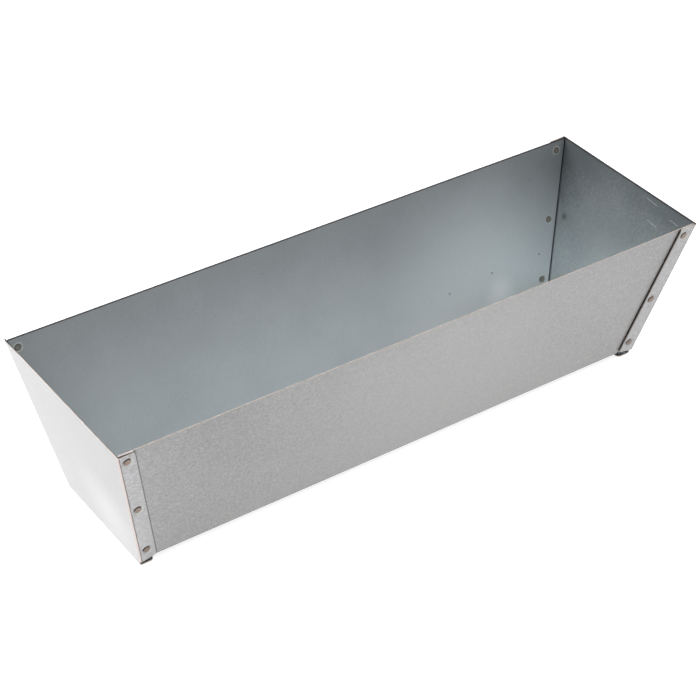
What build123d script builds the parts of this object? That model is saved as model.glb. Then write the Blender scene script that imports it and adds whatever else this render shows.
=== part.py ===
from build123d import *
import os
from math import atan
from math import cos
from math import sin
from math import tan

# Trough feeder folded from galvanised sheet, in millimetres.
# X runs along the trough, Y from the front wall to the back wall, Z up.
# The origin is on the ground, under the middle of the trough.

# Overall sizes, to the outer faces of the sheets
top_length = 400.0  # over the two end panels, at the rim
bottom_length = 356.0  # over the two end panels, at the ground
top_width = 122.0  # over the front and back walls, at the rim
bottom_width = 80.0  # the same walls, carried on down to the ground
height = 101.0  # ground to rim

# The sheet and how it is folded
sheet = 0.7  # thickness of the body and of the end panels
bend_radius = 0.5  # inside radius of every fold
floor_height = 4.3  # ground to the underside of the trough's floor
end_gap = 0.6  # between the body's cut ends and the end panels

# The end panels' flanges, folded by hand: the two ends differ a little
flange_widths = {"left": 10.4, "right": 12.0}  # side flanges, lapped over the outside of the walls
flange_drops = {"left": 1.2, "right": 0.2}  # from the rim down to the side flanges' tops
flange_gap = 0.6  # how far the side flanges stand off the walls
flange_foot = 3.7  # height of a side flange's lower end, at its fold
flange_rise = 2.6  # how much higher the lower end is at the free edge
foot_width = 9.0  # bottom flange, which the trough stands on
foot_length = 80.0  # bottom flange, from front to back
foot_corner_radius = 2.5  # rounded free corners of the bottom flange

# The rivets, set through the flanges and the walls by eye: no two corners are quite alike
rivet_insets = {"left": 5.4, "right": 7.2}  # from the end panel's outer face to the rivet's axis
rivet_heights = {
    ("front", "left"): {"bottom": 13.5, "middle": 51.5, "top": 94.5},
    ("front", "right"): {"bottom": 12.5, "middle": 46.5, "top": 95.0},
    ("back", "left"): {"bottom": 12.5, "middle": 50.5, "top": 94.5},
    ("back", "right"): {"bottom": 11.5, "middle": 50.5, "top": 94.5},
}
shank_radius = 1.3
hole_clearance = 0.05  # round the shank, in both sheets
head_radius = 2.15
head_thickness = 0.45
tail_radius = 2.15
tail_thickness = 0.3
rivet_edge_radius = 0.15  # rounded rims of the head and the tail
dimple_floor_radius = 2.4  # flat seat pressed into the flange under the head
dimple_slope = 1.3  # from the seat out to where the dimple meets the flange

sides = {"front": -1, "back": 1}
ends = {"left": -1, "right": 1}
wall_lean = atan((top_width - bottom_width) / 2 / height)
end_lean = atan((top_length - bottom_length) / 2 / height)
outer_bend = bend_radius + sheet
hole_radius = shank_radius + hole_clearance
dimple_radius = dimple_floor_radius + dimple_slope
clear = 50.0  # how far cutting tools reach past the object


def wall_y(z, depth=0.0):
    """Distance of a wall from the middle plane at height z, depth inside its outer face."""
    return bottom_width / 2 + z * tan(wall_lean) - depth / cos(wall_lean)


def end_x(z, depth=0.0):
    """Distance of an end panel from the middle plane at height z, depth inside its outer face."""
    return bottom_length / 2 + z * tan(end_lean) - depth / cos(end_lean)


def at_corners(shape, points):
    """The vertices of a flat outline that lie at the given points."""
    found = []
    for x, y in points:
        found.append(min(shape.vertices(), key=lambda v: (v.X - x) ** 2 + (v.Y - y) ** 2))
    return found


def trapezoid_prism(plane, low, high, bottom, top):
    """A long prism across the plane: half widths low and high at the heights bottom and top."""
    outline = Polyline((-low, bottom), (low, bottom), (high, top), (-high, top), close=True)
    reach = max(top_length, bottom_length) + clear
    return extrude(plane * make_face(outline), amount=reach, both=True)


def rivet_plane(side, end, z):
    """On the wall's outer face, at the rivet's axis: its z axis points out of the trough."""
    out = (0, sides[side] * cos(wall_lean), -sin(wall_lean))
    x = ends[end] * (end_x(z) - rivet_insets[end])
    return Plane(origin=(x, sides[side] * wall_y(z), z), x_dir=(1, 0, 0), z_dir=out)


def make_body():
    """Front wall, floor and back wall, folded from one sheet."""
    rim_outer_z = height - sheet * sin(wall_lean)
    rim_inner_y = wall_y(rim_outer_z) - sheet * cos(wall_lean)
    floor_top = floor_height + sheet
    outer_corner = (wall_y(floor_height), floor_height)
    inner_corner = (wall_y(floor_top, sheet), floor_top)
    half = [(wall_y(rim_outer_z), rim_outer_z), outer_corner]
    inner_half = [inner_corner, (rim_inner_y, height)]
    right = half + [(-y, z) for y, z in reversed(half)]
    left = [(-y, z) for y, z in reversed(inner_half)] + inner_half
    section = make_face(Polyline(*right, *left, close=True))
    section = fillet(at_corners(section, [outer_corner, (-outer_corner[0], floor_height)]), outer_bend)
    section = fillet(at_corners(section, [inner_corner, (-inner_corner[0], floor_top)]), bend_radius)
    reach = max(top_length, bottom_length) / 2 + clear
    folded = extrude(Plane.YZ * section, amount=reach, both=True)
    depth = sheet + end_gap
    body = folded & trapezoid_prism(Plane.XZ, end_x(0, depth), end_x(height + clear, depth), 0, height + clear)
    for (side, end), heights in rivet_heights.items():
        for z in heights.values():
            body -= rivet_plane(side, end, z) * Cylinder(hole_radius, 4 * sheet)
    return body


def end_shell(depth, bend):
    """A solid as wide as the end panel's side flanges, depth inside its outer faces, over one end."""
    stand_off = flange_gap + sheet - depth
    low, high = -clear, height + clear
    across = trapezoid_prism(Plane.YZ, wall_y(low, -stand_off), wall_y(high, -stand_off), low, high)
    along = trapezoid_prism(Plane.XZ, end_x(low, depth), end_x(high, depth), low, high)
    half_space = Pos(top_length, 0, height / 2) * Box(2 * top_length, 2 * top_length, 2 * top_length)
    solid = across & along & half_space
    corners = [edge for edge in solid.edges() if edge.center().X > bottom_length / 4]
    slanting = [edge for edge in corners if abs(edge.tangent_at(0.5).Z) > 0.5]
    return fillet(slanting, bend)


def make_foot():
    """The strip of plate under the side flanges, folded in to the bottom flange."""
    fold = make_face(
        Polyline(
            (end_x(flange_foot), flange_foot),
            (end_x(0), 0),
            (end_x(0) - foot_width, 0),
            (end_x(0) - foot_width, sheet),
            (end_x(sheet, sheet), sheet),
            (end_x(flange_foot, sheet), flange_foot),
            close=True,
        )
    )
    fold = fillet(at_corners(fold, [(end_x(0), 0)]), outer_bend)
    fold = fillet(at_corners(fold, [(end_x(sheet, sheet), sheet)]), bend_radius)
    foot = extrude(Plane.XZ * fold, amount=foot_length / 2, both=True)
    free_edge = end_x(0) - foot_width
    free_corners = [e for e in foot.edges().filter_by(Axis.Z) if abs(e.center().X - free_edge) < 0.01]
    return fillet(free_corners, foot_corner_radius)


def make_dimple():
    """The seat for a rivet's head, pressed through the flange on to the wall: z = 0 is the wall."""
    dish = make_face(
        Polyline(
            (hole_radius, 0),
            (dimple_floor_radius, 0),
            (dimple_radius, flange_gap),
            (dimple_radius, flange_gap + sheet),
            (dimple_floor_radius, sheet),
            (hole_radius, sheet),
            close=True,
        )
    )
    return revolve(Plane.XZ * dish, Axis.Z)


def make_end_panel(end):
    """A plate with two side flanges and a bottom flange turned in."""
    width, top = flange_widths[end], height - flange_drops[end]
    shell = end_shell(0, outer_bend) - end_shell(sheet, bend_radius)

    # Outline from the side: the flanges' free edges are parallel to the plate.
    free_foot = flange_foot + flange_rise
    inner_bend = outer_bend / cos(end_lean)
    kept = Polyline(
        (end_x(top) - width, top),
        (end_x(free_foot) - width, free_foot),
        (end_x(flange_foot) - inner_bend, flange_foot),
        (end_x(flange_foot) + clear, flange_foot),
        (end_x(height) + clear, height),
        (end_x(height) - inner_bend, height),
        (end_x(top) - inner_bend, top),
        close=True,
    )
    shell = shell & extrude(Plane.XZ * make_face(kept), amount=top_width, both=True)
    panel = shell + make_foot()
    if end == "left":
        panel = mirror(panel, about=Plane.YZ)

    dimple = make_dimple()
    for side in sides:
        for z in rivet_heights[side, end].values():
            place = rivet_plane(side, end, z)
            panel -= place * Cylinder(dimple_radius, 4 * (flange_gap + sheet))
            panel += place * dimple
    return panel


def make_rivet():
    """A flat-headed rivet, set: z = 0 is the wall's outer face, and the head is above it."""
    head = Pos(0, 0, sheet + head_thickness / 2) * Cylinder(head_radius, head_thickness)
    head = fillet(head.edges().sort_by(Axis.Z)[-1], rivet_edge_radius)
    shank = Cylinder(shank_radius, 2 * sheet)
    tail = Pos(0, 0, -sheet - tail_thickness / 2) * Cylinder(tail_radius, tail_thickness)
    tail = fillet(tail.edges().sort_by(Axis.Z)[0], rivet_edge_radius)
    return head + shank + tail


os.makedirs("parts", exist_ok=True)
export_step(make_body(), "parts/trough_body.step")
for end in ends:
    export_step(make_end_panel(end), f"parts/end_panel_{end}.step")

rivet = make_rivet()
for (side, end), heights in rivet_heights.items():
    for level, z in heights.items():
        export_step(rivet_plane(side, end, z) * rivet, f"parts/rivet_{side}_{end}_{level}.step")
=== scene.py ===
# %% [markdown]
# A small feed trough for poultry, folded from galvanised sheet. One sheet makes the front wall,
# the floor and the back wall. Two end panels lap over it with their side flanges, and twelve
# flat rivets hold everything together. Its sizes could be typed in again here, but the packed
# model already holds every size and place. So that model is loaded first, and the pieces made
# below take the place of its plain solids.

from math import atan, cos, degrees, pi, radians, sin, tan

import bmesh
import bpy
from mathutils import Matrix, Vector


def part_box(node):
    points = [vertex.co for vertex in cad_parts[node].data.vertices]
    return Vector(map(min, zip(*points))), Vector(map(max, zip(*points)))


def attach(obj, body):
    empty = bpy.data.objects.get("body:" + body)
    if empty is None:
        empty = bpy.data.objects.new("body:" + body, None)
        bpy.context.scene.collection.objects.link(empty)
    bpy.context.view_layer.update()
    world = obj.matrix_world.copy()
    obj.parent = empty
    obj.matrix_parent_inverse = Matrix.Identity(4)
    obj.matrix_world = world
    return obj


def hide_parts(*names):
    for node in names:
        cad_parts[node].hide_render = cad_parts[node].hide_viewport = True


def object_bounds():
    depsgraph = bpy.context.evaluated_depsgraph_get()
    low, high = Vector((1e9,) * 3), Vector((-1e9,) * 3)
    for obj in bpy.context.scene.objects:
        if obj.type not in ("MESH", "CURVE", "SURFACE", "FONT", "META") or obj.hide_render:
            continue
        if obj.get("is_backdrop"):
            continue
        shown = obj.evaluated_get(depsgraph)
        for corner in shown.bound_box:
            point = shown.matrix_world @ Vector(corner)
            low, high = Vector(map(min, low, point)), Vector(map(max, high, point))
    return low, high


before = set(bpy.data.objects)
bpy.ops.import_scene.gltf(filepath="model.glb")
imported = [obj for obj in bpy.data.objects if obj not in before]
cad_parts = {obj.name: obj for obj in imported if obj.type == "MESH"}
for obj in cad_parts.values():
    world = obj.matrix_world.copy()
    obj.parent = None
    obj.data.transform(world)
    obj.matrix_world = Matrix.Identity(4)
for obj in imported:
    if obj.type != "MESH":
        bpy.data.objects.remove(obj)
cad_box = [list(corner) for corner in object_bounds()]
top_length = cad_box[1][0] - cad_box[0][0]
height = cad_box[1][2]
print("rim length and height in mm:", round(top_length * 1000, 1), round(height * 1000, 1))

# %% [markdown]
# The camera looks down on the front of the trough from the left, through a long lens. It could
# be dragged into place, but then it would stay behind if the trough's size changed. So its place
# is given along three directions, right, up and back, in trough heights.

# %% Camera
azimuth, elevation, roll = radians(-35.833), radians(36.305), radians(1.306)
shift_right, shift_up, distance = -0.0728, 0.4004, 12.2746
view_back = Vector((sin(azimuth) * cos(elevation), -cos(azimuth) * cos(elevation), sin(elevation)))
level_right = Vector((0, 0, 1)).cross(view_back).normalized()
level_up = view_back.cross(level_right)
view_right = cos(roll) * level_right + sin(roll) * level_up
view_up = cos(roll) * level_up - sin(roll) * level_right
camera_place = view_right * shift_right + view_up * shift_up + view_back * distance
camera_place = camera_place * height

camera_data = bpy.data.cameras.new("camera")
camera_data.lens = 105.58
camera_data.sensor_width = 36
camera = bpy.data.objects.new("camera", camera_data)
bpy.context.collection.objects.link(camera)
camera_turn = Matrix((view_right, view_up, view_back)).transposed().to_4x4()
camera.matrix_world = Matrix.Translation(camera_place) @ camera_turn
bpy.context.scene.camera = camera
print("camera distance in m:", round(camera_place.length, 3))

# %% [markdown]
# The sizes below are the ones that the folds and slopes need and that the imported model's boxes
# don't give directly. Heights are measured from the ground, and each wall or panel is measured
# to its outer face. Two small functions say where a wall or an end panel is at any height, so
# that nothing further down has to repeat the slopes.

# %% Driving values
sheet = 0.0007
outer_bend = 0.0012
floor_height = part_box("trough_body")[0].z
bottom_length = 0.356
bottom_width = 0.080
top_width = 0.122
end_gap = 0.0006
flange_gap = 0.0006
flange_widths = {"left": 0.0104, "right": 0.012}
flange_drops = {"left": 0.0012, "right": 0.0002}
flange_foot = 0.0037
flange_rise = 0.0026
foot_width = 0.009
foot_length = 0.080
foot_corner_radius = 0.0025
sides = {"front": -1, "back": 1}
ends = {"left": -1, "right": 1}
wall_slope = (top_width - bottom_width) / 2 / height
end_slope = (top_length - bottom_length) / 2 / height
wall_lean = atan(wall_slope)
end_lean = atan(end_slope)


def wall_y(z, depth=0.0):
    """How far a wall is from the middle at height z, depth inside its outer face."""
    return bottom_width / 2 + z * wall_slope - depth / cos(wall_lean)


def end_x(z, depth=0.0):
    """How far an end panel is from the middle at height z, depth inside its outer face."""
    return bottom_length / 2 + z * end_slope - depth / cos(end_lean)


print("leans in degrees:", round(degrees(wall_lean), 2), round(degrees(end_lean), 2))

# %% [markdown]
# Shader maths can be wired up by hand in the node editor, but it reads best as sums. A Value
# wraps one output socket, and adding or multiplying Values adds the Math nodes. A Finish is a
# material in the making, and its node method adds any other node: settings first, then the
# numbers or links of its sockets.


# %% A small class for shader maths
class Value:
    """A number that changes over a surface."""

    def __init__(self, finish, socket):
        self.finish = finish
        self.socket = socket

    def math(self, operation, first, second):
        return self.finish.node("ShaderNodeMath", {"operation": operation}, {0: first, 1: second})

    def __add__(self, other):
        return self.math("ADD", self, other)

    __radd__ = __add__

    def __sub__(self, other):
        return self.math("SUBTRACT", self, other)

    def __rsub__(self, other):
        return self.math("SUBTRACT", other, self)

    def __mul__(self, other):
        return self.math("MULTIPLY", self, other)

    def __abs__(self):
        return self.math("ABSOLUTE", self, 0)


# %% A class for finishes
class Finish:
    """A material in the making."""

    def __init__(self, name, metallic):
        self.material = bpy.data.materials.new(name)
        self.material.use_nodes = True
        self.nodes = self.material.node_tree.nodes
        self.shader = self.nodes["Principled BSDF"]
        self.shader.inputs["Metallic"].default_value = metallic

    def node(self, kind, settings, sockets, output=0):
        """Adds a node and returns one of its outputs as a Value."""
        node = self.nodes.new(kind)
        for name, setting in settings.items():
            setattr(node, name, setting)
        for key, value in sockets.items():
            self.feed(node.inputs[key], value)
        return Value(self, node.outputs[output])

    def feed(self, socket, value):
        """Links a Value to a socket, or sets the socket to a plain number or colour."""
        if isinstance(value, Value):
            self.material.node_tree.links.new(value.socket, socket)
        else:
            socket.default_value = value

    def finish(self, **sockets):
        """Feeds the shader: base_color=... goes to Base Color, and so on."""
        for name, value in sockets.items():
            self.feed(self.shader.inputs[name.replace("_", " ").title()], value)
        print(self.material.name, "nodes:", len(self.nodes))
        return self.material


# %% [markdown]
# Bare metal is never one even tone. An image texture could give it its pattern, but noise needs
# no file, has no seams and stays sharp up close. The patterns lie on Object coordinates, which
# are metres on the trough. These helpers add what sheet metal needs: cloudy noise at a chosen
# size, a soft step between two values, and a blend of two colours.


# %% Pattern helpers
def place(finish):
    """Metres from the trough's origin."""
    return finish.node("ShaderNodeTexCoord", {}, {}, "Object")


def axes(finish):
    """The same place as three numbers."""
    spread = finish.node("ShaderNodeSeparateXYZ", {}, {"Vector": place(finish)})
    outputs = spread.socket.node.outputs
    return [Value(finish, socket) for socket in outputs]


def clouds(finish, size, detail=2.0, stretch=(1, 1, 1), shift=0.0):
    """Soft noise from about -1 to 1, with blobs of about the size given in metres."""
    scale = [1 / (size * part) for part in stretch]
    shifted = finish.node(
        "ShaderNodeMapping",
        {},
        {"Vector": place(finish), "Location": (shift,) * 3, "Scale": scale},
    )
    noise = finish.node(
        "ShaderNodeTexNoise", {}, {"Vector": shifted, "Scale": 1.0, "Detail": detail}
    )
    return (noise - 0.5) * 3


def step(finish, value, low, high):
    """0 below low, 1 above high, and a soft rise between them."""
    return finish.node(
        "ShaderNodeMapRange",
        {"interpolation_type": "SMOOTHSTEP"},
        {"Value": value, "From Min": low, "From Max": high},
    )


def blend(finish, factor, first, second):
    """A colour between two colours."""
    return finish.node(
        "ShaderNodeMix", {"data_type": "RGBA"}, {0: factor, 6: first, 7: second}, 2
    )


# %% [markdown]
# Some marks belong to a place on the trough: wear along a fold, a scratch, a painted reflection.
# They could be painted on an unwrapped texture, but a distance finds the same place and follows
# the trough's sizes. Near an upright fold a point is close to the end panel's outer face and
# close to the side flange's outer face, so the sum of the two distances finds the worn folds.


# %% Marks that belong to a place
flange_stand_off = (flange_gap + sheet) / cos(wall_lean)
print("side flanges' outer faces past the walls by mm:", round(flange_stand_off * 1000, 2))


def from_end(finish):
    """Metres from the nearer end panel's outer face, along the trough."""
    x, y, z = axes(finish)
    return bottom_length / 2 + z * end_slope - abs(x)


def from_flange(finish):
    """Metres from the outer face of the nearer side flanges, across the trough."""
    x, y, z = axes(finish)
    return bottom_width / 2 + flange_stand_off + z * wall_slope - abs(y)


def worn_fold(finish, wear):
    """1 along the upright folds, where bending has cracked the zinc; wear widens it unevenly."""
    unevenness = clouds(finish, 0.004, 2, shift=0.2) * 0.00022
    reach = from_end(finish) + from_flange(finish) + unevenness
    return 1 - step(finish, reach, wear, wear + 0.0003)


def near_rim(finish):
    """1 on the last half millimetre or so below the rim."""
    return step(finish, axes(finish)[2], height - 0.001, height - 0.0006)


def spot(finish, centre, radius):
    """1 in the middle of a round mark, fading to 0 at its radius."""
    reach = finish.node(
        "ShaderNodeVectorMath", {"operation": "DISTANCE"}, {0: place(finish), 1: centre}, "Value"
    )
    return 1 - step(finish, reach, 0.0, radius)


def scratch(finish, start, end, width):
    """1 on a straight scratch between two points in the y-z plane."""
    x, y, z = axes(finish)
    run = Vector(end) - Vector(start)
    length = run.length
    run.normalize()
    offset_y, offset_z = y - start[0], z - start[1]
    across = abs(offset_z * run.x - offset_y * run.y)
    half_way = abs(offset_y * run.x + offset_z * run.y - length / 2)
    within = 1 - step(finish, half_way, length * 0.35, length * 0.5)
    return within * (1 - step(finish, across, width * 0.3, width))

# %% [markdown]
# The sheet is hot-dip galvanised. Its zinc skin is a dull metal, cloudy over a few centimetres
# and finely grained under a millimetre, with some specks and fine rubbing marks. A plain grey
# metal would look like new steel, so one class lays down that skin between a dark and a light
# tone, and each surface then adds its own marks. Each surface's tone is also lifted towards the
# ground, a painted light that stands in for the light the bright floor throws on it.


# %% Zinc finish
class Zinc(Finish):
    """Galvanised sheet between a dark and a light tone, with room for more marks on top."""

    cloud_size = 0.045
    mottle_size = 0.0019
    grain_size = 0.0008
    speck_size = 0.0022
    speck_colour = (0.10, 0.085, 0.075, 1)

    def __init__(self, name, dark, light, cloudiness, grain, rub, painted_light_low):
        super().__init__(name, 0.92)
        low_down = 0.5 - axes(self)[2] * (1 / height)
        self.broad = clouds(self, self.cloud_size, 3, shift=0.3)
        mottle = clouds(self, self.mottle_size, 2)
        self.fine = clouds(self, self.grain_size, 1)
        rubbing = step(self, clouds(self, 0.0009, 1, rub, 0.7), 0.85, 1.3)
        specks = step(self, clouds(self, self.speck_size, 0, shift=0.9), 1.12, 1.2)
        pattern = self.broad * cloudiness + mottle * (grain * 0.6) + self.fine * grain
        # Painted light: each surface's tone is lifted towards the ground, lighter low down.
        tone = 0.5 + low_down * painted_light_low + pattern + rubbing * 0.2
        clean = blend(self, tone, (*dark, 1), (*light, 1))
        self.colour = blend(self, specks * 0.45, clean, self.speck_colour)
        self.relief = mottle * 0.6 + self.fine * 0.4

    def mark(self, mask, colour):
        """Lays a mark of one colour over the skin."""
        self.colour = blend(self, mask, self.colour, (*colour, 1))

    def done(self, roughness):
        normal = self.node(
            "ShaderNodeBump", {}, {"Strength": 0.4, "Distance": 0.00012, "Height": self.relief}
        )
        return self.finish(
            base_color=self.colour,
            roughness=roughness + self.broad * 0.04 + self.fine * 0.02,
            normal=normal,
        )


print("zinc grain in mm:", round(Zinc.grain_size * 1000, 2))

# %% [markdown]
# The walls' outside is the grainiest face of the trough, painted a little paler round its middle
# as a painted pool of light. The wall is painted dark in the crevice along each flange's free
# edge, a painted shade of that gap, more of it on the right, and the fold under the wall is
# painted darker, a painted shade. Above the left flange's short top a strip of wall is painted
# pale, a painted light against the flange's shadow. All of these are places that two heights or
# two distances bound, so soft steps find them.

# %% Walls, outside
zinc = Zinc(
    "zinc_wall_outside",
    dark=(.226, .223, .224),
    light=(.374, .370, .368),
    cloudiness=.16,
    grain=.50,
    rub=(40, 40, 1),
    painted_light_low=0.40,
)
# Painted light: a broad pale pool round the middle of the walls.
painted_light_area = spot(zinc, (0.03, -0.05, 0.045), 0.19)
zinc.mark(painted_light_area * 0.5, (.41, .405, .405))
# Painted shade: the underside of the fold under the wall is darkened.
fold_shade = 1 - step(zinc, axes(zinc)[2], floor_height + 0.0005, floor_height + 0.0008)
zinc.mark(fold_shade * 0.7, (.09, .088, .088))

# Painted shade: the wall is darkened in the gap past each flange's free edge, more on the right.
painted_crevice_shade = (.008, .007, .007)
crevice_shade_reach = {"left": 0.0011, "right": 0.0004}
crevice_shade_strength = {"left": 0.5, "right": 1.0}
inward = from_end(zinc)
for end, out in ends.items():
    start = flange_widths[end]
    stop = start + crevice_shade_reach[end]
    this_end = step(zinc, axes(zinc)[0] * out, 0.0, 0.01)
    past_edge = step(zinc, inward, start - 0.0004, start - 0.0001)
    gap_shade = past_edge * (1 - step(zinc, inward, stop, stop + 0.0003))
    zinc.mark(gap_shade * this_end * crevice_shade_strength[end], painted_crevice_shade)

# Painted light: the strip of wall above the left flange's short top is made pale against the
# flange's shadow.
left_width = flange_widths["left"]
rim_strip = step(zinc, axes(zinc)[2], height - 0.0017, height - 0.0012)
painted_light_strip = rim_strip * (1 - step(zinc, inward, left_width - 0.0004, left_width))
zinc.mark(painted_light_strip, (.95, .94, .94))
wall_outside = zinc.done(.44)

# %% [markdown]
# The walls' inside is smoother, and its tones are lighter and a little bluer than the outside's:
# painted light, and a painted reflection of the dim room instead of the bright floor. It has faint
# upright drip marks from the zinc bath, a painted reflection low on the back wall with a small
# painted glare in it, and three specks. The back rim is tarnished. The trough's floor is duller
# than the walls, or it would glare from above. The glare could be left to a lamp, but a lamp that
# small would show in every other face as well.

# %% Walls, inside
# Painted light and painted reflection: these tones are lighter and bluer than the same zinc
# outside.
zinc = Zinc(
    "zinc_wall_inside",
    dark=(.395, .412, .420),
    light=(.67, .702, .716),
    cloudiness=.14,
    grain=.10,
    rub=(40, 40, 1),
    painted_light_low=1.0,
)
drips = clouds(zinc, 0.0022, 2, (1, 1, 14), 0.4)
zinc.mark(step(zinc, drips, 0.5, 1.6) * 0.35, (.33, .345, .35))
# Painted reflection: a broad pale patch low on the back wall, with a small painted glare in it.
painted_reflection = spot(zinc, (0.115, 0.044, 0.018), 0.10)
zinc.mark(painted_reflection * 0.7, (.82, .84, .84))
glare = spot(zinc, (0.1385, 0.0421, 0.0137), 0.016)
zinc.mark(glare * 0.8, (.95, .95, .95))

tarnish = (.05, .036, .036)
back_half = step(zinc, axes(zinc)[1], 0.0, 0.02)
zinc.mark(back_half * near_rim(zinc) * 0.7, tarnish)
floor_top = floor_height + sheet
on_floor = 1 - step(zinc, axes(zinc)[2], floor_top, floor_top + 0.0008)
zinc.mark(on_floor * 0.8, (.34, .354, .36))
speck_places = ((0.1722, 0.0454, 0.0296), (0.1333, 0.0454, 0.0293), (0.0992, 0.0448, 0.0264))
for centre in speck_places:
    zinc.mark(spot(zinc, centre, 0.0012) * 0.8, (.10, .10, .095))
wall_inside = zinc.done(.42)

# %% [markdown]
# The end panels' outside shows fine pale veins and dark blotches on its flanges, where the zinc
# crystals meet. A vein is where soft noise passes through zero, so the noise's own size sets how
# far apart veins are, and no drawn lines are needed. Along each upright fold runs a worn, warm
# line, with a broken dark line of painted shade beside it where the crease is, and the left panel
# is painted paler low down, a painted light.

# %% End panels, outside
zinc = Zinc(
    "zinc_end_outside",
    dark=(.265, .263, .268),
    light=(.39, .387, .394),
    cloudiness=.2,
    grain=.22,
    rub=(1, 40, 1),
    painted_light_low=0.5,
)
crystals = (1.5, 1.5, 0.8)
vein = 1 - step(zinc, abs(clouds(zinc, 0.0026, 2, crystals, 0.6)), 0.03, 0.26)
blotch = step(zinc, clouds(zinc, 0.0020, 2, crystals, 1.3), 0.3, 0.8)
on_flange = step(zinc, from_end(zinc), 0.0012, 0.0016)
zinc.mark(vein * on_flange * 0.4, (.47, .46, .465))
zinc.mark(blotch * on_flange * 0.55, (.20, .192, .197))

# Painted shade: a broken dark line beside each upright fold, where the crease is.
crease_start = step(zinc, from_end(zinc), 0.0009, 0.0011)
crease_shade = crease_start * (1 - step(zinc, from_end(zinc), 0.0014, 0.0017))
broken = step(zinc, clouds(zinc, 0.003, 1, shift=0.8), -0.3, 0.4)
zinc.mark(crease_shade * broken * 0.6, (.12, .095, .085))
# Painted light: the left panel's lower front corner is made paler.
painted_light_corner = spot(zinc, (-0.1830, -0.0175, 0.0229), 0.04)
zinc.mark(painted_light_corner * 0.5, (.48, .475, .48))
zinc.mark(worn_fold(zinc, 0.0009) * 0.7, (.47, .40, .37))
end_outside = zinc.done(.42)

# %% [markdown]
# The end panels' inside is the darkest face, its tones painted darker than the same zinc on the
# other faces as a painted shade, and it is cloudier, with faint upright streaks. Near the rim it
# has three short scratches, and lower down a smudge and a darker area. The scratches are thin
# lines in the shader: cut into the mesh they would need thousands of faces.

# %% End panels, inside
# Painted shade: these tones are darker than the same zinc on the other faces.
zinc = Zinc(
    "zinc_end_inside",
    dark=(.138, .154, .159),
    light=(.40, .436, .444),
    cloudiness=.20,
    grain=.18,
    rub=(1, 40, 1),
    painted_light_low=1.2,
)
streaks = clouds(zinc, 0.0016, 2, (1, 1, 16), 0.4)
zinc.mark(step(zinc, streaks, 0.3, 1.4) * 0.35, (.42, .45, .46))
scratch_width = 0.0004
scratch_runs = (
    ((-0.018, 0.0975), (-0.030, 0.0965)),
    ((-0.024, 0.0852), (-0.034, 0.0842)),
    ((-0.041, 0.0935), (-0.050, 0.0930)),
)
for start, stop in scratch_runs:
    zinc.mark(scratch(zinc, start, stop, scratch_width) * 0.33, (.60, .64, .65))
smudge = spot(zinc, (0.1891, 0.0434, 0.054), 0.0035)
zinc.mark(smudge * 0.6, (.08, .08, .075))
dark_area = spot(zinc, (0.1920, 0.0080, 0.0680), 0.045)
zinc.mark(dark_area * 0.5, (.17, .185, .19))
zinc.mark(near_rim(zinc) * 0.7, tarnish)
end_inside = zinc.done(.42)

# %% [markdown]
# Where the sheet was sheared, its edge is bare steel with a smear of zinc: a warm, rough, thin
# line. Along the back rim and the right end's rim it has tarnished nearly black. The edges could
# share the zinc finish, but this thin line is what makes a sheet read as cut metal.


# %% Cut edges
class Edge(Finish):
    """Bare sheared edge, warm and pale, tarnished dark where a mask says so."""

    def __init__(self, name):
        super().__init__(name, 0.4)
        self.tone = 0.5 + clouds(self, 0.005, 2) * 0.5

    def done(self, tarnished):
        bare = blend(self, self.tone, (.22, .18, .155, 1), (.44, .385, .35, 1))
        return self.finish(
            base_color=blend(self, tarnished, bare, (.03, .022, .022, 1)), roughness=.5
        )


edge = Edge("wall_cut_edge")
wall_edge = edge.done(step(edge, axes(edge)[1], 0.0, 0.02))

edge = Edge("end_cut_edge")
right_half = step(edge, axes(edge)[0], 0.0, 0.02)
inner_half = step(edge, from_end(edge), 0.00035, 0.00045)
at_rim = step(edge, axes(edge)[2], height - 0.0012, height - 0.0008)
on_plate = 1 - step(edge, from_end(edge), 0.0010, 0.0013)
right_or_inner = 1 - (1 - right_half) * (1 - inner_half)
end_edge = edge.done(at_rim * on_plate * right_or_inner)

# %% [markdown]
# The zinc is a little paler in a ring pressed round each rivet, more so inside. The rivets have
# a bronze-brown skin, and the head's rim, where it curves down into the dimple, is painted nearly
# black as a painted shade. These places are only millimetres wide, so one soft pattern each is
# enough.


# %% Rings and rivets
def plain_metal(name, dark, light, size, roughness):
    """A metal with one soft pattern, for narrow places."""
    finish = Finish(name, 0.8)
    tone = 0.5 + clouds(finish, size, 2) * 0.5
    return finish.finish(
        base_color=blend(finish, tone, (*dark, 1), (*light, 1)),
        roughness=roughness + clouds(finish, size, 1, shift=0.5) * 0.05,
    )


pressed_ring = plain_metal("pressed_ring", (.28, .275, .272), (.40, .395, .39), 0.0012, .42)
inner_ring = plain_metal("inner_ring", (.42, .43, .43), (.85, .84, .81), 0.0022, .40)
rivet_face = plain_metal("rivet_face", (.145, .104, .080), (.265, .210, .178), 0.0012, .45)
rivet_tail = plain_metal("rivet_tail", (.16, .15, .13), (.34, .32, .29), 0.0012, .45)
# Painted shade: the rivet head's rim is nearly black.
rivet_rim_shade = plain_metal("rivet_rim_shade", (.03, .022, .018), (.07, .055, .045), 0.001, .55)

# %% [markdown]
# Every piece is shaped in edit mode, where an operator works on what is selected. Picking by
# hand is a click. A list of index numbers would break with the next edit, so here a test on a
# face's or an edge's middle does the picking.


# %% Picking, and starting a piece
tiny = 0.00002


def middle(part):
    """The middle of a vertex, an edge or a face."""
    if isinstance(part, bmesh.types.BMVert):
        return part.co
    if isinstance(part, bmesh.types.BMEdge):
        return (part.verts[0].co + part.verts[1].co) / 2
    return part.calc_center_median()


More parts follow.
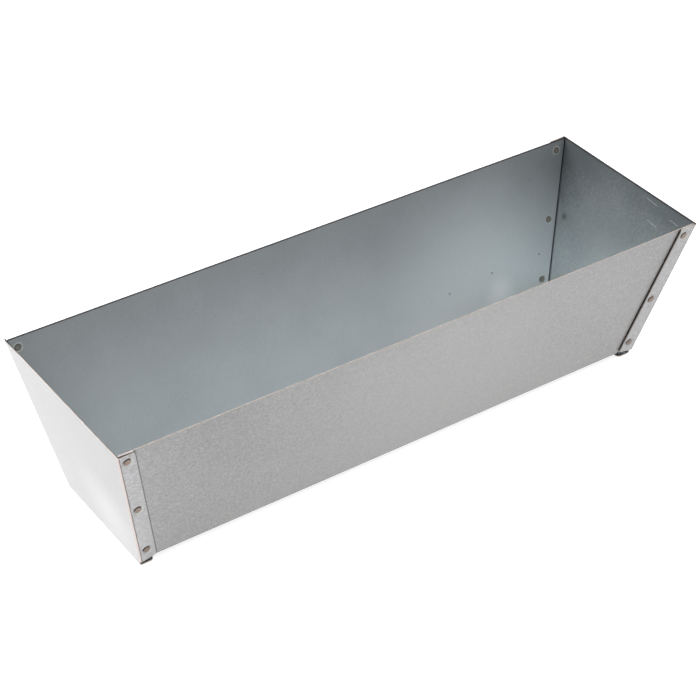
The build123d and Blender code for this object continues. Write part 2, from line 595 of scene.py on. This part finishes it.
def pick(piece, kind, test):
    """Selects the verts, edges or faces that pass the test, and nothing else."""
    bpy.ops.mesh.select_mode(type={"verts": "VERT", "edges": "EDGE", "faces": "FACE"}[kind])
    bpy.ops.mesh.select_all(action="DESELECT")
    mesh = bmesh.from_edit_mesh(piece.data)
    found = [part for part in getattr(mesh, kind) if test(part)]
    for part in found:
        part.select_set(True)
    bmesh.update_edit_mesh(piece.data)
    return len(found)


def is_along(edge, axis, shortest):
    """True for an edge that runs mostly along an axis and is longer than shortest."""
    line = edge.verts[1].co - edge.verts[0].co
    return line.length > shortest and abs(line.normalized()[axis]) > 0.7


def start_sheet(name, turn):
    """A square of one metre at the origin, open in edit mode."""
    bpy.ops.object.select_all(action="DESELECT")
    bpy.ops.mesh.primitive_plane_add(size=1, rotation=turn)
    piece = bpy.context.object
    piece.name = name
    bpy.ops.object.transform_apply(rotation=True)
    bpy.ops.object.mode_set(mode="EDIT")
    bpy.ops.mesh.select_all(action="SELECT")
    return piece


# %% [markdown]
# A rivet stands square to its wall. Its place could be typed in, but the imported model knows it:
# the middle of a rivet's box lies on its axis. So the seat, a point on the wall's outer face
# with the outward direction as its z axis, follows from that box.


# %% Rivet seats
def rivet_seat(name):
    """The place and turn of a rivet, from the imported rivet's box."""
    low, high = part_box(name)
    centre = (low + high) / 2
    side = 1 if centre.y > 0 else -1
    out = Vector((0, side * cos(wall_lean), -sin(wall_lean)))
    on_wall = Vector((centre.x, side * wall_y(centre.z), centre.z))
    centre = centre + out * (on_wall - centre).dot(out)
    across = Vector((1, 0, 0))
    turn = Matrix((across, out.cross(across), out)).transposed().to_4x4()
    return Matrix.Translation(centre) @ turn


seats = {name: rivet_seat(name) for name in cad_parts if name.startswith("rivet")}
print("rivets:", len(seats))

# %% [markdown]
# A round hole or a round press mark is cut with an open tube: the tube is added across the
# sheet, Intersect cuts both where they meet, and the tube's own faces are deleted. What stays
# is a disc in the sheet with clean round edges. A Boolean modifier would need a closed solid,
# and it would leave no disc to press in.

# %% Cutting circles in a sheet
tube_depth = 0.006
print("cutting tube in sheet thicknesses:", round(tube_depth / sheet, 1))


def cut_circle(piece, seat, radius):
    """Cuts a circle in the sheet round a seat's axis and leaves its disc selected."""
    bpy.ops.mesh.select_mode(type="FACE")
    bpy.ops.mesh.select_all(action="DESELECT")
    bpy.ops.mesh.primitive_cylinder_add(
        vertices=40,
        radius=radius,
        depth=tube_depth,
        end_fill_type="NOTHING",
        location=seat.translation,
        rotation=seat.to_euler(),
    )
    bpy.ops.mesh.intersect(mode="SELECT_UNSELECT", separate_mode="NONE", solver="EXACT")
    to_seat = seat.inverted()
    axis = seat.to_3x3().col[2]

    def on_tube(face):
        point = to_seat @ middle(face)
        near = abs(point.xy.length - radius) < radius * 0.03
        in_reach = abs(point.z) < tube_depth / 2 + 0.0005
        return near and in_reach and abs(face.normal.dot(axis)) < 0.3

    def on_disc(face):
        inside = max((to_seat @ vert.co).xy.length for vert in face.verts) < radius * 1.01
        return inside and abs((to_seat @ middle(face)).z) < tube_depth / 2

    pick(piece, "faces", on_tube)
    bpy.ops.mesh.delete(type="FACE")
    pick(piece, "faces", on_disc)
    bpy.ops.mesh.dissolve_faces()
    bpy.ops.mesh.select_all(action="SELECT")
    bpy.ops.mesh.remove_doubles(threshold=0.00004)
    bpy.ops.mesh.dissolve_degenerate(threshold=0.00003)
    return pick(piece, "faces", on_disc)


# %% [markdown]
# The body is one sheet, folded twice. It could be drawn as a section and swept, but folding it
# is how the real one is made: it starts as the floor, a flat strip, and its long edges are
# pulled out and up into the two walls. The folds are rounded with a bevel. The strip is longer
# than the trough at first, so that one slanting cut at each end gives it the trough's own slope.

# %% Body: floor, walls and folds
body = start_sheet("trough_sheet", (0, 0, 0))
rim_height = height - sheet * sin(wall_lean)
floor_half = wall_y(floor_height)
wall_rise = rim_height - floor_height
bpy.ops.transform.resize(value=(top_length * 1.2, 2 * floor_half, 1), center_override=(0, 0, 0))
bpy.ops.transform.translate(value=(0, 0, floor_height))
for side in sides.values():
    pick(body, "edges", lambda edge: side * middle(edge).y > floor_half - tiny)
    bpy.ops.mesh.extrude_edges_move(
        TRANSFORM_OT_translate={"value": (0, side * wall_rise * wall_slope, wall_rise)}
    )


def is_wall_fold(edge):
    spot = middle(edge)
    return abs(abs(spot.y) - floor_half) < tiny and abs(spot.z - floor_height) < tiny


folds = pick(body, "edges", is_wall_fold)
fold_turn = pi / 2 - wall_lean
bpy.ops.mesh.bevel(offset=outer_bend * tan(fold_turn / 2), segments=6, affect="EDGES")
for out in ends.values():
    bpy.ops.mesh.select_all(action="SELECT")
    bpy.ops.mesh.bisect(
        plane_co=(out * end_x(0, sheet + end_gap), 0, 0),
        plane_no=(out * cos(end_lean), 0, -sin(end_lean)),
        clear_outer=True,
    )
print("folds:", folds, "faces:", len(bmesh.from_edit_mesh(body.data).faces))

# %% [markdown]
# Thin sheet is never quite flat, and six large faces couldn't bend. So the walls and the floor
# are divided into a grid, for the gentle wave that is put into them further down. Every face is
# then turned to point outwards, away from the feed.

# %% Body: grid
pick(body, "edges", lambda edge: is_along(edge, 0, 0.1))
bpy.ops.mesh.subdivide(number_cuts=39)
pick(body, "edges", lambda edge: is_along(edge, 2, 0.05))
bpy.ops.mesh.subdivide(number_cuts=9)
pick(body, "edges", lambda edge: is_along(edge, 1, 0.05))
bpy.ops.mesh.subdivide(number_cuts=7)
bpy.ops.mesh.select_all(action="SELECT")
body_faces = bmesh.from_edit_mesh(body.data).faces
floor_faces = [face for face in body_faces if middle(face).z < floor_height + tiny]
print("body faces:", len(body_faces), "of them floor:", len(floor_faces))
if floor_faces[0].normal.z > 0:
    bpy.ops.mesh.flip_normals()

# %% [markdown]
# Each corner has three rivet holes. A wider circle is cut first and its disc gets the finish of
# the pressed ring, then the hole itself is cut and its disc deleted. Painting the ring in the
# shader would need twelve centres, and a material slot needs none. The slots are 0 outside,
# 1 cut edge, 2 inside, and 3 the rings.

# %% Body: rivet holes
hole_radius = 0.00135
ring_radius = 0.0030
ring_slot = 3
for finish in (wall_outside, wall_edge, wall_inside, inner_ring):
    body.data.materials.append(finish)
for seat in seats.values():
    cut_circle(body, seat, ring_radius)
    body.active_material_index = ring_slot
    bpy.ops.object.material_slot_assign()
    cut_circle(body, seat, hole_radius)
    bpy.ops.mesh.delete(type="FACE")
bpy.ops.object.mode_set(mode="OBJECT")
print("body faces with holes:", len(body.data.polygons))

# %% [markdown]
# The wave could be sculpted, but a Displace modifier with a cloud texture gives the same wave
# each time. A vertex group holds it back where the sheet is stiff or fastened: at the ends, at
# the folds, and partly at the rim.


# %% Wave
def clamp(value):
    return max(0.0, min(1.0, value))


def apply_modifier(piece, kind, **settings):
    """Adds a modifier with its settings and applies it."""
    modifier = piece.modifiers.new(kind.lower(), kind)
    for name, value in settings.items():
        setattr(modifier, name, value)
    bpy.ops.object.modifier_apply(modifier=modifier.name)


def wave(piece, looseness, strength, size):
    """Pushes the sheet in and out a little, where looseness of a point is above 0."""
    group = piece.vertex_groups.new(name="loose")
    for vert in piece.data.vertices:
        group.add([vert.index], clamp(looseness(vert.co)), "REPLACE")
    texture = bpy.data.textures.new(piece.name + "_wave", "CLOUDS")
    texture.noise_scale = size
    texture.noise_depth = 1
    apply_modifier(
        piece,
        "DISPLACE",
        texture=texture,
        texture_coords="LOCAL",
        strength=strength,
        mid_level=0.5,
        vertex_group="loose",
    )
    piece.vertex_groups.clear()


def wall_looseness(spot):
    """How free the body is to wave at a spot on its outer face."""
    to_end = (end_x(spot.z) - abs(spot.x) - 0.018) / 0.03
    on_wall = spot.z > floor_height + 0.001
    to_fold = (spot.z - floor_height if on_wall else floor_half - abs(spot.y)) / 0.02
    to_rim = 0.35 + (rim_height - spot.z) / 0.04
    return clamp(to_end) * clamp(to_fold) * clamp(to_rim)


wave(body, wall_looseness, strength=0.0012, size=0.09)
body_z = [vert.co.z for vert in body.data.vertices]
print("body from", round(min(body_z) * 1000, 2), "to", round(max(body_z) * 1000, 2), "mm high")

# %% [markdown]
# So far the sheet has no thickness. Solidify adds it towards the inside, so that the outer faces
# stay in place, and gives the new rim the cut edge's finish. A second skin could be modelled by
# hand, but its folds would have to be worked out again. A narrow bevel takes the sharpness off,
# and smooth shading by angle keeps the folds round and the sheared edges crisp.


# %% Thickness and edges
def finish_sheet(piece):
    """Gives a folded sheet its thickness, its chamfered edges and smooth folds."""
    bpy.ops.object.mode_set(mode="EDIT")
    bpy.ops.mesh.select_all(action="SELECT")
    bpy.ops.mesh.delete_loose()
    bpy.ops.object.mode_set(mode="OBJECT")
    apply_modifier(
        piece,
        "SOLIDIFY",
        thickness=sheet,
        offset=-1,
        use_even_offset=True,
        material_offset=2,
        material_offset_rim=1,
    )
    apply_modifier(
        piece, "BEVEL", width=0.0001, segments=1, limit_method="ANGLE", angle_limit=radians(60)
    )
    bpy.ops.object.shade_smooth_by_angle(angle=radians(22))
    apply_modifier(piece, "WEIGHTED_NORMAL", keep_sharp=True, weight=80)
    print(piece.name, "faces:", len(piece.data.polygons))


finish_sheet(body)
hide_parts("trough_body")
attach(body, "root")

# %% [markdown]
# An end panel is one plate with three flanges. Each flange could be a strip of its own, but they
# are one sheet, so they are pulled out of the plate's edges. It starts as an upright square that
# is drawn out to the panel's outline: full width at the rim, narrower at the foot. Its sides are
# pulled in along the walls as the two side flanges, and a strip at its lower edge is pulled down
# and in as the foot that the trough stands on.


# %% End panel: plate
def flange_y(z):
    """How far the outer face of a side flange is from the middle at height z."""
    return wall_y(z, -(flange_gap + sheet))


print("end panel's width in mm, at the rim:", round(2000 * flange_y(height), 1))

def end_plate(end):
    """The upright plate, cut into a middle part above the foot and two parts beside it."""
    out = ends[end]
    panel = start_sheet("end_sheet_" + end, (0, pi / 2, 0))
    tall = height - flange_foot
    narrowing = flange_y(flange_foot) / flange_y(height)
    origin = (0, 0, 0)
    bpy.ops.transform.resize(value=(1, 2 * flange_y(height), tall), center_override=origin)
    bpy.ops.transform.translate(value=(out * end_x(height), 0, flange_foot + tall / 2))
    pick(panel, "edges", lambda edge: middle(edge).z < flange_foot + tiny)
    bpy.ops.transform.resize(value=(1, narrowing, 1), center_override=origin)
    bpy.ops.transform.translate(value=(-out * tall * end_slope, 0, 0))
    for side in sides.values():
        bpy.ops.mesh.select_all(action="SELECT")
        bpy.ops.mesh.bisect(plane_co=(0, side * foot_length / 2, 0), plane_no=(0, side, 0))
    return panel


# %% End panel: foot and side flanges
def pull_foot(panel, end):
    """Pulls the lower edge down to the ground and in under the trough."""
    out = ends[end]

    def above_foot(edge):
        return middle(edge).z < flange_foot + tiny and abs(middle(edge).y) < foot_length / 4

    pick(panel, "edges", above_foot)
    to_ground = (-out * flange_foot * end_slope, 0, -flange_foot)
    bpy.ops.mesh.extrude_edges_move(TRANSFORM_OT_translate={"value": to_ground})
    bpy.ops.mesh.extrude_edges_move(TRANSFORM_OT_translate={"value": (-out * foot_width, 0, 0)})


def pull_side_flange(panel, end, side):
    """Pulls one side edge in along the wall, and lifts the new flange's free lower corner."""
    out, width = ends[end], flange_widths[end]

    def on_side(edge):
        return side * middle(edge).y > foot_length / 2 + 0.0001 and is_along(edge, 2, 0.05)

    def free_corner(vert):
        x, y, z = out * vert.co.x, side * vert.co.y, vert.co.z
        low = tiny < z < flange_foot + tiny
        return y > 0 and low and x < end_x(z) - width + tiny

    pick(panel, "edges", on_side)
    bpy.ops.mesh.extrude_edges_move(TRANSFORM_OT_translate={"value": (-out * width, 0, 0)})
    pick(panel, "verts", free_corner)
    bpy.ops.transform.translate(
        value=(out * flange_rise * end_slope, side * flange_rise * wall_slope, flange_rise)
    )


# %% [markdown]
# The folds are rounded next. How far a bevel must start from a fold depends on how far the
# sheet turns there: the outer bend radius times the tangent of half the turn. A Bevel modifier
# would round every fold by the same offset, and the foot's fold turns less. The flanges' tops
# are then cut to their height, and the last bit below each top is nipped in towards the wall.

# %% End panel: folds, flange tops and foot corners
top_nip = 0.00045
nipped_height = 0.0012
print("nip in degrees:", round(degrees(atan(top_nip / nipped_height)), 1))


def fold_panel(panel, end):
    out = ends[end]
    side_turn = pi / 2 - sin(wall_lean) * sin(end_lean)
    foot_turn = pi / 2 - end_lean

    def on_side_fold(edge):
        spot = middle(edge)
        on_plate = abs(out * spot.x - end_x(spot.z)) < tiny
        on_flange = abs(abs(spot.y) - flange_y(spot.z)) < tiny
        return on_plate and on_flange and is_along(edge, 2, 0.05)

    def on_foot_fold(edge):
        return middle(edge).z < tiny and out * middle(edge).x > end_x(0) - tiny

    def on_foot_edge(vert):
        return vert.co.z < tiny and out * vert.co.x < end_x(0) - foot_width + tiny

    side_folds = pick(panel, "edges", on_side_fold)
    bpy.ops.mesh.bevel(offset=outer_bend * tan(side_turn / 2), segments=6, affect="EDGES")
    foot_folds = pick(panel, "edges", on_foot_fold)
    bpy.ops.mesh.bevel(offset=outer_bend * tan(foot_turn / 2), segments=5, affect="EDGES")
    pick(panel, "verts", on_foot_edge)
    bpy.ops.mesh.bevel(offset=foot_corner_radius, segments=5, affect="VERTICES")
    return side_folds, foot_folds


def is_flange(face):
    return abs(face.normal.y) > 0.97


def cut_flange_tops(panel, end):
    out = ends[end]
    flange_top = height - flange_drops[end]
    pick(panel, "faces", is_flange)
    bpy.ops.mesh.bisect(plane_co=(0, 0, flange_top), plane_no=(0, 0, 1), clear_outer=True)
    pick(panel, "faces", is_flange)
    bpy.ops.mesh.bisect(plane_co=(0, 0, flange_top - nipped_height), plane_no=(0, 0, 1))
    past_fold = end_x(flange_top) - 2 * outer_bend
    for side in sides.values():

        def on_top(vert):
            at_top = vert.co.z > flange_top - tiny
            return at_top and side * vert.co.y > 0 and out * vert.co.x < past_fold

        pick(panel, "verts", on_top)
        bpy.ops.transform.translate(value=(0, -side * top_nip, 0))


# %% [markdown]
# The flanges stand a little off the walls. Under each rivet the flange is pressed down on to
# its wall in a shallow round dimple: a circle is cut, inset to the seat's radius, and moved
# inwards by the gap. A second inset leaves the rivet hole. Bump in the shader could fake the
# dimple, but it is nearly as deep as the sheet is thick, and it has to meet the wall.

# %% End panel: grid and dimples
dimple_radius = 0.0037
dimple_seat_radius = 0.0024
between_rivets = (0.30, 0.72)
dimple_slope = atan(flange_gap / (dimple_radius - dimple_seat_radius))
print("dimple's slope in degrees:", round(degrees(dimple_slope), 1))


def grid_panel(panel, end):
    """Divides the plate for its wave, and each flange between its rivets."""
    out = ends[end]

    def upright_on_plate(edge):
        return is_along(edge, 2, 0.05) and out * middle(edge).x > end_x(middle(edge).z) - tiny

    def across_plate(edge):
        return is_along(edge, 1, 0.07) and middle(edge).z > flange_foot - tiny

    pick(panel, "edges", upright_on_plate)
    bpy.ops.mesh.subdivide(number_cuts=11)
    pick(panel, "edges", across_plate)
    bpy.ops.mesh.subdivide(number_cuts=9)
    for share in between_rivets:
        pick(panel, "faces", is_flange)
        bpy.ops.mesh.bisect(plane_co=(0, 0, height * share), plane_no=(0, 0, 1))
    bpy.ops.mesh.select_all(action="SELECT")
    bpy.ops.mesh.normals_make_consistent(inside=False)
    panel_faces = bmesh.from_edit_mesh(panel.data).faces
    plate = [face for face in panel_faces if abs(face.normal.x) > 0.9][0]
    if plate.normal.x * out < 0:
        bpy.ops.mesh.flip_normals()


def press_dimple(panel, seat):
    """Presses one dimple with a rivet hole into a flange."""
    cut_circle(panel, seat, dimple_radius)
    panel.active_material_index = ring_slot
    bpy.ops.object.material_slot_assign()
    bpy.ops.mesh.inset(thickness=dimple_radius - dimple_seat_radius)
    bpy.ops.transform.translate(value=-flange_gap * seat.to_3x3().col[2])
    bpy.ops.mesh.inset(thickness=dimple_seat_radius - hole_radius)
    bpy.ops.mesh.delete(type="FACE")


# %% [markdown]
# Both end panels go through the same steps, each with its own flange width and drop. The right
# one could be a mirrored copy, but the two were folded by hand and differ by a millimetre or
# two. Only the plate waves: the flanges are held by their rivets.


# %% Both end panels
def plate_looseness(spot, out):
    """How free an end panel is to wave at a spot on its outer face."""
    on_plate = out * spot.x > end_x(spot.z) - 0.0006
    to_side = (flange_y(spot.z) - abs(spot.y) - 0.004) / 0.02
    to_foot = (spot.z - 0.006) / 0.02
    to_rim = 0.35 + (height - spot.z) / 0.04
    return on_plate * clamp(to_side) * clamp(to_foot) * clamp(to_rim)


for end, out in ends.items():
    panel = end_plate(end)
    pull_foot(panel, end)
    for side in sides.values():
        pull_side_flange(panel, end, side)
    folds = fold_panel(panel, end)
    cut_flange_tops(panel, end)
    for finish in (end_outside, end_edge, end_inside, pressed_ring):
        panel.data.materials.append(finish)
    grid_panel(panel, end)
    for name, seat in seats.items():
        if end in name:
            press_dimple(panel, seat)
    bpy.ops.object.mode_set(mode="OBJECT")
    wave(panel, lambda spot: plate_looseness(spot, out), strength=0.0010, size=0.05)
    finish_sheet(panel)
    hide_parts("end_panel_" + end)
    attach(panel, "root")
    print(panel.name, "side and foot folds:", folds)

# %% [markdown]
# One rivet is modelled and the others are its copies. It could be spun from a profile, but a
# short cylinder, the shank, is quicker: its two ends are pulled wide into a flat head outside
# and a flatter tail inside. The head's rim is rounded by a bevel, and its face is pressed in a
# little by the setting tool.

# %% One rivet
shank_radius = 0.0013
head_radius = 0.00215
head_thickness = 0.00045
tail_thickness = 0.0003
rim_round = 0.00015
presses = ((rim_round, 0.0), (0.0006, 0.00008), (0.0007, 0.00004))


def is_cap(face, up):
    """True for the flat face at the rivet's upper or lower end."""
    spot = middle(face)
    return face.normal.z * up > 0.9 and spot.xy.length < tiny and spot.z * up > 0


def is_outer_rim(edge):
    """True for an edge round the outer face of the head or the tail."""
    z = middle(edge).z
    outside = z > sheet + head_thickness - tiny or z < -sheet - tail_thickness + tiny
    return outside and all(abs(v.co.xy.length - head_radius) < tiny for v in edge.verts)


bpy.ops.object.select_all(action="DESELECT")
bpy.ops.mesh.primitive_cylinder_add(vertices=36, radius=shank_radius, depth=2 * sheet)
rivet = bpy.context.object
face_slot, rim_shade_slot, tail_slot = 0, 1, 2
for finish in (rivet_face, rivet_rim_shade, rivet_tail):
    rivet.data.materials.append(finish)
bpy.ops.object.mode_set(mode="EDIT")
wide = head_radius / shank_radius
for up, thickness in ((1, head_thickness), (-1, tail_thickness)):
    pick(rivet, "faces", lambda face: is_cap(face, up))
    bpy.ops.mesh.extrude_region_move(TRANSFORM_OT_translate={"value": (0, 0, 0)})
    bpy.ops.transform.resize(value=(wide, wide, 1), center_override=(0, 0, 0))
    bpy.ops.mesh.extrude_region_move(TRANSFORM_OT_translate={"value": (0, 0, up * thickness)})
    for inset, depth in presses:
        bpy.ops.mesh.inset(thickness=inset)
        bpy.ops.transform.translate(value=(0, 0, -up * depth))
print("rivet faces before its rims are rounded:", len(bmesh.from_edit_mesh(rivet.data).faces))

# %% One rivet: rounded rims and finishes
outer_rims = pick(rivet, "edges", is_outer_rim)
bpy.ops.mesh.bevel(offset=rim_round * 0.8, segments=3, affect="EDGES")
pick(rivet, "faces", lambda face: middle(face).z < -sheet - tail_thickness / 2)
rivet.active_material_index = tail_slot
bpy.ops.object.material_slot_assign()
# Painted shade: the head's rim gets the nearly black finish.
pick(rivet, "faces", lambda face: middle(face).xy.length > head_radius * 0.86)
rivet.active_material_index = rim_shade_slot
bpy.ops.object.material_slot_assign()
bpy.ops.object.mode_set(mode="OBJECT")
bpy.ops.object.shade_smooth_by_angle(angle=radians(35))
print("rivet faces:", len(rivet.data.polygons), "rim edges:", outer_rims)

# %% [markdown]
# Each copy has its own mesh, is moved to its seat, and has that move applied, so that its
# object stays at the origin like every other piece. Linked copies would share one mesh, and
# then their moves couldn't be applied.

# %% All rivets
for name, seat in seats.items():
    bpy.ops.object.select_all(action="DESELECT")
    rivet.select_set(True)
    bpy.context.view_layer.objects.active = rivet
    bpy.ops.object.duplicate(linked=False)
    copy = bpy.context.object
    copy.name = name.replace("rivet", "set_rivet")
    copy.matrix_world = seat
    bpy.ops.object.transform_apply(location=True, rotation=True, scale=True)
    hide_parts(name)
    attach(copy, "root")
bpy.data.objects.remove(rivet)
print("rivets set:", len(seats))

# %% [markdown]
# The floor is a plain white sweep, as in a catalogue. With lamps alone it would need very strong
# ones to go white, so it glows a little, which also softens the shadow under the trough.

# %% Studio floor
bpy.ops.object.select_all(action="DESELECT")
bpy.ops.mesh.primitive_plane_add(size=20, location=(0, 0, -0.00005))
ground = bpy.context.object
ground.name = "studio_floor"
paper = Finish("studio_paper", 0.0)
paper_finish = paper.finish(
    base_color=(.5, .5, .5, 1),
    roughness=.9,
    emission_color=(1, 1, 1, 1),
    emission_strength=.74,
)
ground.data.materials.append(paper_finish)
ground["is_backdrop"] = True
print("studio floor in m:", round(ground.dimensions.x), "by", round(ground.dimensions.y))

# %% [markdown]
# The sky is a dome of soft light, brighter overhead than at the horizon, and one large lamp
# stands behind the trough on its left. Dull metal shows mostly what it faces, so the bright
# floor lights the outside and the dim horizon darkens the inside. Three or four lamps could do
# this too, but each would leave a streak of its own on the metal.

# %% Sky and lamp
sky = bpy.data.worlds.new("soft_sky")
bpy.context.scene.world = sky
sky.use_nodes = True
sky_nodes, sky_links = sky.node_tree.nodes, sky.node_tree.links
direction = sky_nodes.new("ShaderNodeTexCoord")
parts = sky_nodes.new("ShaderNodeSeparateXYZ")
ramp = sky_nodes.new("ShaderNodeValToRGB")
horizon, overhead = ramp.color_ramp.elements[0], ramp.color_ramp.elements[1]
horizon.position = 0.0
horizon.color = (0.30, 0.31, 0.32, 1)
overhead.position = 0.75
overhead.color = (1.0, 1.0, 1.0, 1)
sky_links.new(direction.outputs["Generated"], parts.inputs[0])
sky_links.new(parts.outputs["Z"], ramp.inputs[0])
sky_links.new(ramp.outputs[0], sky_nodes["Background"].inputs["Color"])
sky_nodes["Background"].inputs["Strength"].default_value = 1.6

lamp_place = Vector((-0.7, 0.6, 0.8))
lamp_data = bpy.data.lights.new("left_lamp", "AREA")
lamp_data.size = 0.5
lamp_data.energy = 20
lamp = bpy.data.objects.new("left_lamp", lamp_data)
bpy.context.collection.objects.link(lamp)
lamp.location = lamp_place
lamp.rotation_euler = (-lamp_place).to_track_quat("-Z", "Y").to_euler()
bpy.context.scene.view_settings.view_transform = "Standard"
print("lamp distance in m:", round(lamp_place.length, 2))

# %% [markdown]
# Last, the finished pieces are measured against the imported model. The two boxes should agree to
# a fraction of a millimetre, and how far each corner moved is printed.

visual_box = [list(corner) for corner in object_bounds()]
for label, packed, made in zip(("lowest", "highest"), cad_box, visual_box):
    print(label, "corner moved by mm:", [round((b - a) * 1000, 2) for a, b in zip(packed, made)])
